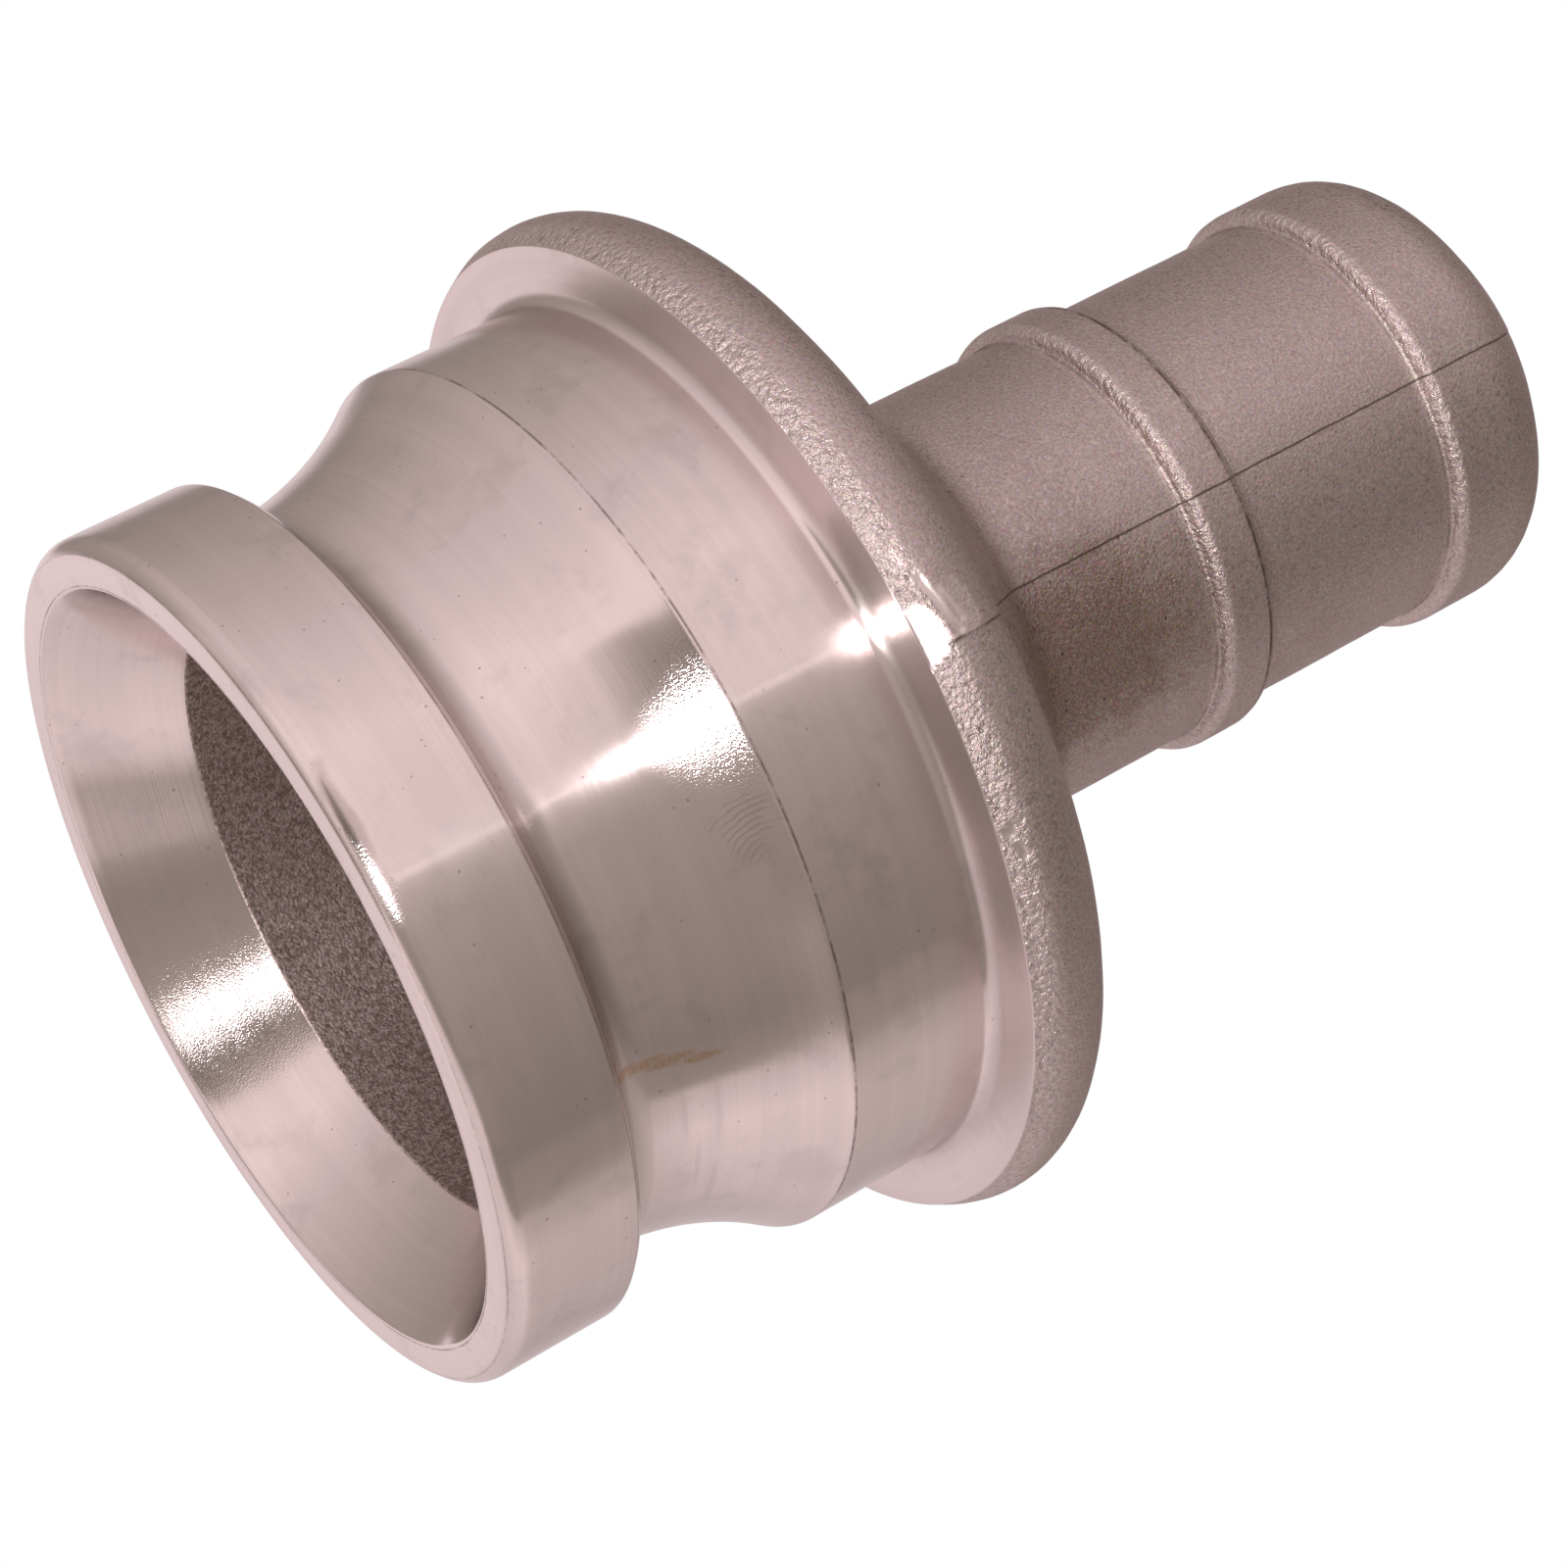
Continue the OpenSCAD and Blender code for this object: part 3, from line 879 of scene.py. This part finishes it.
# The dark of pits, of the lines at creases and edges (dirt with painted shade), and of the painted dark
# reflection on the lip.
pit_dirt_and_painted_dark = (0.22, 0.17, 0.15)
oil_spots = ((-53.2, 16.8, 1.2, 2.4), (-52.3, 19.2, 1.1, 3.0), (-51.2, 22.0, 1.0, 3.2),
             (-50.1, 25.0, 0.9, 3.2))
scuff_spots = ((-41, 22.7, 7, 0.5), (-39, 26.0, 7, 0.45), (-22, 25.8, 9, 0.5),
               (-30, 24.0, 8, 0.4), (-25, 33.9, 6, 3.0))
hazy_spots = ((-90, 36, 15, 8), (89, 7, 22, 14), (-92, 0.9, 9, 1.8))

turned_metal, tree, shader, place = new_material("turned_aluminium", turned_colour)
marks = use_group(tree, marks_group, {"Place": place, "Run": stored(tree, "run"), "Pitch": thread_pitch})
speck = use_group(tree, grain_group, {"Place": place, "Grain": speck_size, "Share": 0.05})
smudge = use_group(tree, smudge_group, {"Place": place, "Size": smudge_size, "Cover": 0.52})["Mask"]
height = axes(tree, place)["Z"]
oil = spots(tree, place, oil_spots, 1.2)
stain = times(tree, oil, ease(tree, speck["Speckle"], 0.0, 1.0, 0.3, 1.0))
scuffs = spots(tree, place, scuff_spots, 1.0)
# Painted dark reflection on the lip's rounding, beside the lamp's highlight.
lip_dark_reflection = spot(tree, place, -100, 1.3, 8, 1.0, 1.2)["Mask"]
face_share = ease(tree, height, (collar_h - 1.0) * MM, (collar_h - 0.2) * MM)
below_shoulder = ease(tree, height, (shoulder_h + 0.2) * MM, (shoulder_h - 0.2) * MM)
haze = times(tree, spots(tree, place, hazy_spots, 0.25), below_shoulder)
print("spots on the turned end:", len(oil_spots) + len(scuff_spots) + len(hazy_spots) + 1)

# %% [markdown]
# A finger mark is a set of ridges. They are a sine wave over the distance from the middle of
# the finger's pad, which lies beside the print, and a little noise lets them wander.

# %% Turned aluminium: the finger mark and the colour
ridge_count, ridge_wander = 58.0, 8.0
finger = spot(tree, place, -78, 34.2, 6.2, 3.3, 2.0)["Mask"]
from_pad = spot(tree, place, -72.5, 35.8, 7, 5.6)["Reach"]
wander = noise(tree, place, 700.0)
ridge_way = times_plus(tree, wander, ridge_wander, times(tree, from_pad, ridge_count))
ridges = times(tree, maths(tree, "SINE", ridge_way), finger)
# Pits, and the dark lines at creases and edges: dirt with painted shade.
pits_dirt_and_crease_shade = larger(tree, times(tree, speck["Pit"], 0.5), dirt_and_shade_lines(tree, place, turned_line))
turned_look = coated(tree, turned_colour, (
    (ease(tree, smudge, 0.0, 0.8, 0.0, 0.5), greyed),
    (ease(tree, marks["Band"], 0.3, 0.7, 0.0, 0.25), greyed),
    (ease(tree, marks["Height"], 0.3, 0.7, 0.0, 0.15), greyed),
    (times(tree, larger(tree, face_share, scuffs), 0.45), greyed),
    (times(tree, stain, 0.85), oiled),
    (ease(tree, ridges, 0.0, 1.0, 0.0, 0.7), finger_red),
    (times(tree, lip_dark_reflection, 0.35), pit_dirt_and_painted_dark),
    (pits_dirt_and_crease_shade, pit_dirt_and_painted_dark)))
print("turned colour has", len(tree.nodes), "nodes")

# %% [markdown]
# ## Turned aluminium: how it shines
#
# The grooves of the lathe run round the part, so a light is smeared across them, along the
# axis, and hardly at all round it. That is what anisotropy does in the Principled shader: the
# tangent runs round the axis and is turned a quarter, so that the rough direction lies along
# the section. The rings from the turning marks stand in the bump and in the roughness. The
# edge tint is a little below white, because the oxide on old metal dims what it mirrors at a
# low angle.

# %% Turned aluminium: shine and relief
rough = ease(tree, marks["Band"], 0.35, 0.65, 0.135, 0.165)
for share, gain in ((face_share, 0.1), (haze, 0.015), (smudge, 0.03)):
    rough = times_plus(tree, share, gain, rough)
etched = noise(tree, place, 5200.0, 1.0)
turned_relief = bumped(tree, (
    (marks["Height"], ease(tree, face_share, 0.0, 1.0, 0.3, 0.05), 0.00002),
    (marks["Band"], 0.3, 0.00004),
    (etched, ease(tree, haze, 0.0, 1.0, 0.0, 0.7), 0.00003),
    (ridges, 0.15, 0.00002)))
fill(tree, shader, {
    "Base Color": turned_look, "Metallic": 1.0, "Roughness": rough, "Specular Tint": (0.85, 0.85, 0.85, 1),
    "Anisotropic": ease(tree, haze, 0.0, 1.0, 1.0, 0.9), "Anisotropic Rotation": 0.25,
    "Tangent": make_node(tree, "ShaderNodeTangent", direction_type="RADIAL", axis="Z").outputs[0],
    "Normal": turned_relief})
body_mesh.materials.append(turned_metal)
print(turned_metal.name, len(tree.nodes), "nodes")

# %% [markdown]
# ## Cast aluminium: where it differs
#
# The skin from the sand is one finish with a few regions. The lower side of the neck is darker
# and browner, with dark pits: dust, and painted shade on that side. The front of the rim and the
# corners of the rib and the band are rubbed bright, with coarser grain, and their colour is
# lightened further as a painted highlight. The chamber inside is lightened as painted light,
# and is brown in its hollows, and where the rim was ground or knocked the bare metal shows.

# %% Cast aluminium: regions
cast_colour = (0.655, 0.565, 0.546)
grey_brown = (0.437, 0.366, 0.342)
# Brown of dust, used also for the painted shade on the lower side.
dusty_and_shaded = (0.31, 0.21, 0.155)
chamber_brown = (0.22, 0.155, 0.125)
# The dark of pits and of the lines at creases and edges: dirt, and painted shade in the creases.
dirt_and_shade = (0.10, 0.06, 0.045)
fine_size, coarse_size, dust_size, parting_width, cast_line = 0.0003, 0.0006, 0.02, 0.00017, 0.0003

cast_metal, tree, shader, place = new_material("cast_aluminium", cast_colour)
# Darker, browner lower side with more dark pits: dust and painted shade.
low_dust_and_shade = spot(tree, place, -62, 86, 37, 20, 0.8)["Mask"]
inward = axes(tree, place)
squares = [maths(tree, "POWER", inward[axis], 2.0) for axis in ("X", "Y")]
from_axis = maths(tree, "SQRT", maths(tree, "ADD", *squares))
chamber_top = (collar_back_h + neck_fillet) * MM
chamber = times(tree, ease(tree, from_axis, (throat_r + 2.0) * MM, (throat_r + 0.5) * MM),
                ease(tree, inward["Z"], chamber_top, chamber_top - 0.002))
rim_front = times(tree, ease(tree, from_axis, 0.045, 0.047),
                  ease(tree, inward["Z"], (collar_h + 4.0) * MM, (collar_h + 1.5) * MM))
# Rubbed places: wear, whose colour lift below is also a painted highlight.
rubbed_and_sheen = larger(tree, rim_front, stored(tree, "worn_and_sheen"))
bare = stored(tree, "ground")
print("chamber up to", round(chamber_top, 4), "m")

# %% [markdown]
# The colour of the sand skin is a speckle of two greys with a faint play of hue, and dirt stays
# in the pits and along the parting line. The dark lines at creases and edges are dirt and painted
# shade, and on the lower side dust and painted shade darken the skin and its pits.

# %% Cast aluminium: grain and colour
pit_chance = maths(tree, "SUBTRACT", times_plus(tree, low_dust_and_shade, 0.12, 0.05), times(tree, chamber, 0.04))
grain = use_group(tree, grain_group, {"Place": place, "Grain": fine_size, "Share": pit_chance})
coarse = use_group(tree, grain_group, {"Place": place, "Grain": coarse_size, "Share": 0.05})
smudge = use_group(tree, smudge_group, {"Place": place, "Size": dust_size, "Cover": 0.4})["Mask"]
parting = use_group(tree, line_group, {"Place": place, "Width": parting_width})["Line"]
hue = make_node(tree, "ShaderNodeTexNoise", {"Vector": place, "Scale": 2600.0}).outputs["Color"]
speckle = blend_colour(tree, rubbed_and_sheen, grain["Speckle"], coarse["Speckle"])
# Lightening towards the turned colour: a painted highlight on the rubbed places and painted light in the
# chamber.
brightened = times(tree, larger(tree, rubbed_and_sheen, chamber), 0.4)
skin = coated(tree, grey_brown, ((speckle, cast_colour), (brightened, turned_colour)))
skin = blend_colour(tree, times_plus(tree, low_dust_and_shade, 0.45, 0.25), skin, hue, "OVERLAY")
pit_share = times(tree, grain["Pit"], times_plus(tree, low_dust_and_shade, 0.5, 0.35))
line_share = larger(tree, times(tree, parting, 0.6), dirt_and_shade_lines(tree, place, cast_line))
cast_look = coated(tree, skin, (
    (times(tree, smudge, 0.2), dusty_and_shaded),
    (times(tree, low_dust_and_shade, ease(tree, grain["Speckle"], 0.0, 1.0, 0.85, 0.4)), dusty_and_shaded),
    (times(tree, chamber, ease(tree, coarse["Speckle"], 0.1, 0.9, 0.6, 0.0)), chamber_brown),
    (larger(tree, pit_share, line_share), dirt_and_shade),
    (bare, turned_colour)))
print("cast colour has", len(tree.nodes), "nodes")

# %% [markdown]
# ## Cast aluminium: how it shines
#
# It is the same metal, but each lump reflects its own way, so the surface looks matte from a
# step away and sparkles close by. Roughness carries the first, and a strong bump with the
# sparkling grains made smoother carries the second.

# %% Cast aluminium: shine and relief
spark = times(tree, blend_colour(tree, rubbed_and_sheen, grain["Spark"], coarse["Spark"]),
              ease(tree, chamber, 0.0, 1.0, 1.0, 0.35))
sand_rough = times_plus(tree, rubbed_and_sheen, -0.1, ease(tree, spark, 0.0, 1.0, 0.5, 0.27))
sanded = ease(tree, bare, 0.0, 1.0, 1.0, 0.1)
cast_relief = bumped(tree, (
    (grain["Height"], times(tree, sanded, times_plus(tree, low_dust_and_shade, 0.62, 0.35)), 0.00016),
    (coarse["Height"], times(tree, sanded, rubbed_and_sheen), 0.0003)))
fill(tree, shader, {
    "Base Color": cast_look, "Metallic": 1.0, "Specular Tint": (0.7, 0.68, 0.68, 1),
    "Roughness": ease(tree, bare, 0.0, 1.0, sand_rough, 0.34), "Normal": cast_relief})
body_mesh.materials.append(cast_metal)
print(cast_metal.name, len(tree.nodes), "nodes")

# %% [markdown]
# ## Floor
#
# The part stands on a plain pale floor. The photograph's view comes from below the mouth, so
# the camera is lower than the floor, and the floor must not hide the part from there: its
# upper face is pale, with a faint glow so that the part's shadow stays soft, and its lower
# face lets the view through. It takes the part's shadow but doesn't darken the light that
# reaches the mouth.

# %% Make the floor
floor_half, floor_drop = 5.0, 0.0002
floor_colour, glow_colour, glow_strength = (0.74, 0.85, 0.88, 1), (0.85, 0.83, 0.83, 1), 0.3
floor_mesh = bpy.data.meshes.new("floor")
floor_mesh.from_pydata([(x * floor_half, y * floor_half, -floor_drop)
                        for x, y in ((-1, -1), (1, -1), (1, 1), (-1, 1))], [], [(0, 1, 2, 3)])
floor = bpy.data.objects.new("floor", floor_mesh)
bpy.context.collection.objects.link(floor)
floor.visible_diffuse = floor.visible_glossy = floor.visible_transmission = floor.visible_shadow = False

floor_paint = bpy.data.materials.new("pale_floor")
floor_paint.use_nodes = True
tree = floor_paint.node_tree
tree.nodes.clear()
matte = make_node(tree, "ShaderNodeBsdfDiffuse", {"Color": floor_colour})
glow = make_node(tree, "ShaderNodeEmission", {"Color": glow_colour, "Strength": glow_strength})
pale = make_node(tree, "ShaderNodeAddShader", {0: matte.outputs[0], 1: glow.outputs[0]})
clear = make_node(tree, "ShaderNodeBsdfTransparent")
below = make_node(tree, "ShaderNodeNewGeometry").outputs["Backfacing"]
surface_mix = make_node(tree, "ShaderNodeMixShader", {0: below, 1: pale.outputs[0], 2: clear.outputs[0]})
make_node(tree, "ShaderNodeOutputMaterial", {"Surface": surface_mix.outputs[0]})
floor_mesh.materials.append(floor_paint)
print("floor", 2 * floor_half, "m square")

# %% [markdown]
# ## Light
#
# Polished metal shows its surroundings more than itself, so the studio is designed as what the
# metal sees. It has a white sweep behind the part, a broad white card at the left of the
# camera that fades slowly to grey, and a dim side at the right. They are drawn once round the
# horizon, as brightness over the compass direction, once for what lies low and once for what
# lies high. A colour ramp holds both, low in its red and high in its green. Far down, below
# the camera, the cards stand a little further round.

# %% Stand the cards round the part
studio_cards = [
    (-180, 0.64, 0.55), (-150, 0.80, 0.76), (-128, 0.98, 0.92), (-103, 0.86, 0.87), (-96, 0.83, 0.83),
    (-91, 0.54, 0.55), (-79, 0.42, 0.45), (-55, 0.36, 0.35), (-30, 0.31, 0.28), (-17, 0.27, 0.26),
    (-15, 0.27, 0.32), (-3, 0.32, 0.34), (0, 0.62, 0.44), (14, 0.86, 0.58), (40, 0.76, 0.57),
    (60, 0.72, 0.55), (100, 1.00, 0.84), (110, 0.98, 0.82), (115, 0.40, 0.78), (122, 0.37, 0.35),
    (150, 0.46, 0.42)]

world = bpy.data.worlds.new("studio")
bpy.context.scene.world = world
world.use_nodes = True
tree = world.node_tree
tree.nodes.clear()
way = axes(tree, make_node(tree, "ShaderNodeTexCoord").outputs["Generated"])
compass = maths(tree, "ARCTAN2", way["Y"], way["X"])
low_shift = ease(tree, way["Z"], -0.64, -0.72, 0.0, 0.43)
compass_share = make_node(tree, "ShaderNodeMapRange", {
    "Value": maths(tree, "ADD", compass, low_shift), "From Min": -math.pi,
    "From Max": math.pi}).outputs[0]
ramp = make_node(tree, "ShaderNodeValToRGB", {"Fac": compass_share})
elements = ramp.color_ramp.elements
elements.remove(elements[0])
for number, (compass_way, low_light, high_light) in enumerate(studio_cards):
    position = (compass_way + 180) / 360
    element = elements[0] if number == 0 else elements.new(position)
    element.position = position
    element.color = (low_light, high_light, 0, 1)
elements.new(1.0).color = elements[0].color
print("studio with", len(studio_cards), "stops round the horizon")

# %% [markdown]
# Overhead the studio is dim. A dark board round the lamp gives its white highlights dark sides,
# and a narrow bright gap, where the card ends, shows as the thin line along the walls. The
# light is a little warm, more so where it is dim. The camera itself sees plain white.

# %% Light the world with them
board_turn, board_half_turn, board_edge, board_dim = -107, 17, 2, 0.35
gap_turn, gap_half_turn, gap_light = -93.3, 1.1, 0.26
green_share = 0.85


def turned_away(turn):
    """How far the direction lies from a compass direction in degrees, in radians."""
    return maths(tree, "ABSOLUTE", maths(tree, "SUBTRACT", compass, math.radians(turn)))


low_and_high = make_node(tree, "ShaderNodeSeparateColor", {"Color": ramp.outputs["Color"]}).outputs
cards = make_node(tree, "ShaderNodeMix", {
    "Factor": ease(tree, way["Z"], 0.0, 0.36), "A": low_and_high["Red"],
    "B": low_and_high["Green"]}).outputs["Result"]
overhead = ease(tree, way["Z"], 0.35, 0.9, 1.0, 0.65)
beside = ease(tree, turned_away(board_turn), math.radians(board_half_turn + board_edge),
              math.radians(board_half_turn))
below = ease(tree, way["Z"], -0.36, -0.58)
board = ease(tree, times(tree, beside, below), 0.0, 1.0, 1.0, board_dim)
gap = ease(tree, turned_away(gap_turn), math.radians(gap_half_turn), math.radians(gap_half_turn / 2),
           0.0, gap_light)
level = maths(tree, "ADD", times(tree, cards, overhead), gap)
brightness = times(tree, level, board)
studio_colour = make_node(tree, "ShaderNodeCombineColor", {
    "Red": brightness, "Green": times(tree, brightness, green_share),
    "Blue": times(tree, brightness, ease(tree, brightness, 0.1, 0.8, 0.76, 0.86))})
seen = make_node(tree, "ShaderNodeBackground", {"Color": (1, 1, 1, 1), "Strength": 1.0})
lit = make_node(tree, "ShaderNodeBackground", {"Color": studio_colour.outputs[0], "Strength": 1.0})
straight_view = make_node(tree, "ShaderNodeLightPath").outputs["Is Camera Ray"]
world_mix = make_node(tree, "ShaderNodeMixShader", {0: straight_view, 1: lit.outputs[0], 2: seen.outputs[0]})
make_node(tree, "ShaderNodeOutputWorld", {"Surface": world_mix.outputs[0]})
print("world with", len(tree.nodes), "nodes")

# %% [markdown]
# One small strong lamp stands below the camera. It gives the white highlights, which the lathe
# grooves draw out into streaks.

# %% Add the lamp
lamp_turn, lamp_rise = math.radians(-94), math.radians(-43)
lamp_distance, lamp_size, lamp_power = 0.9, 0.06, 3.8
lamp_out = Vector((math.cos(lamp_turn) * math.cos(lamp_rise), math.sin(lamp_turn) * math.cos(lamp_rise),
                   math.sin(lamp_rise)))
lamp = bpy.data.lights.new("key_lamp", "AREA")
lamp.color = (1.0, 0.93, 0.92)
lamp.shape, lamp.size, lamp.energy = "DISK", lamp_size, lamp_power
key_lamp = bpy.data.objects.new("key_lamp", lamp)
bpy.context.collection.objects.link(key_lamp)
key_lamp.location = lamp_out * lamp_distance + Vector((0, 0, tip_h / 2 * MM))
key_lamp.rotation_mode = "QUATERNION"
key_lamp.rotation_quaternion = lamp_out.to_track_quat("Z", "Y")
key_lamp.visible_camera = False
print("key lamp at", [round(v, 2) for v in key_lamp.location])

# %% [markdown]
# ## Colours as the camera records them
#
# The photograph is an ordinary product shot on white, so the picture is written with the plain
# standard curve, and white stays white.

# %% Set the colour curve
bpy.context.scene.view_settings.view_transform = "Standard"
print("view transform", bpy.context.scene.view_settings.view_transform)
